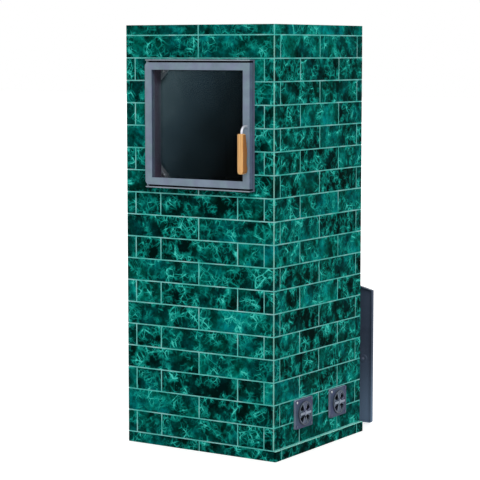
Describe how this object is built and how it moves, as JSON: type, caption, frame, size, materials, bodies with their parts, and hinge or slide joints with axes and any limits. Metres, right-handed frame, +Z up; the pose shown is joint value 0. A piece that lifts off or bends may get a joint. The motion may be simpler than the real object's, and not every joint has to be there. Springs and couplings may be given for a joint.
{
  "type": "sauna stove",
  "caption": "Closed wood-fired sauna stove in a stone brick jacket, with a glazed stone-chamber door, turning air vents and a rear fuel portal with door and ash drawer.",
  "frame": {"origin": "on the floor under the middle of the stone jacket", "axes": "+X to the right seen from the glazed door, +Y from the glazed door to the fuel portal, +Z up"},
  "size_m": [0.6126, 0.838, 1.42],
  "materials": {
    "stone": "sawn and polished serpentine",
    "mortar": "pointed mortar",
    "shell_steel": "heat resistant paint",
    "portal_steel": "heat resistant paint",
    "cast_iron": "painted casting",
    "grate_iron": "raw casting",
    "zinc": "zinc plated",
    "firebrick": "fired clay",
    "rope": "glass fibre rope",
    "door_glass": "heat resistant glass",
    "grip_wood": "oiled beech"
  },
  "bodies": {
    "stove": {"plinth_stones": "stone", "front_stones": "stone", "right_stones": "stone", "left_stones": "stone", "rear_stones": "stone", "cap_stones": "stone", "bed_mortar": "mortar", "head_mortar": "mortar", "base_frame": "shell_steel", "heater_floor": "shell_steel", "heater_sides": "shell_steel", "heater_front": "shell_steel", "heater_rear": "shell_steel", "heater_top": "shell_steel", "grate_shelf": "shell_steel", "grate": "grate_iron", "lining_bricks": "firebrick", "flame_baffle": "firebrick", "stone_chamber": "shell_steel", "fuel_channel": "portal_steel", "portal_plate": "portal_steel", "flue_collar": "shell_steel", "top_cover": "shell_steel", "cover_lugs": "shell_steel", "throat": "shell_steel", "throat_gussets": "zinc", "throat_bolts": "zinc", "door_frame": "cast_iron", "door_seal": "rope", "latch_keeper": "zinc", "vent_plates": "portal_steel", "vent_ducts": "shell_steel", "vent_screws": "zinc", "vent_pivots": "zinc", "fuel_hinge_brackets": "portal_steel", "fuel_hinge_pins": "zinc", "fuel_keeper": "zinc"},
    "door": {"door_leaf": "cast_iron", "door_glass": "door_glass", "glass_gasket": "rope", "glass_clips": "zinc", "glass_screws": "zinc", "door_hinge_pins": "zinc", "handle_bush": "zinc"},
    "door_handle": {"handle_rod": "zinc", "handle_grip": "grip_wood", "latch_cam": "zinc", "handle_nut": "zinc"},
    "vent_front": {"vent_disc_front": "portal_steel"},
    "vent_rear": {"vent_disc_rear": "portal_steel"},
    "fuel_door": {"fuel_door_leaf": "portal_steel", "fuel_door_seal": "rope", "fuel_door_shield": "shell_steel"},
    "fuel_handle": {"fuel_handle_rod": "zinc", "fuel_handle_grip": "grip_wood", "fuel_latch_bar": "zinc"},
    "ash_drawer": {"ash_tray": "shell_steel", "ash_tray_ends": "shell_steel", "ash_front": "portal_steel", "ash_handle": "zinc"}
  },
  "joints": [
    {"name": "door_swing", "type": "hinge", "parent": "stove", "child": "door", "pos_m": [-0.1895, -0.3075, 1.094], "axis": [0, 0, -1], "range_deg": [0, 120]},
    {"name": "handle_turn", "type": "hinge", "parent": "door", "child": "door_handle", "pos_m": [0.209, -0.317, 1.094], "axis": [0, -1, 0], "range_deg": [-15, 90]},
    {"name": "vent_front_turn", "type": "hinge", "parent": "stove", "child": "vent_front", "pos_m": [0.303, -0.1075, 0.134], "axis": [1, 0, 0], "range_deg": [0, 45]},
    {"name": "vent_rear_turn", "type": "hinge", "parent": "stove", "child": "vent_rear", "pos_m": [0.303, 0.1195, 0.134], "axis": [1, 0, 0], "range_deg": [0, 45]},
    {"name": "fuel_door_swing", "type": "hinge", "parent": "stove", "child": "fuel_door", "pos_m": [-0.172, 0.431, 0.328], "axis": [0, 0, 1], "range_deg": [0, 110]},
    {"name": "fuel_handle_turn", "type": "hinge", "parent": "fuel_door", "child": "fuel_handle", "pos_m": [0.11, 0.441, 0.328], "axis": [0, -1, 0], "range_deg": [-7, 70]},
    {"name": "ash_drawer_slide", "type": "slide", "parent": "stove", "child": "ash_drawer", "axis": [0, 1, 0], "range_m": [0, 0.4]}
  ]
}
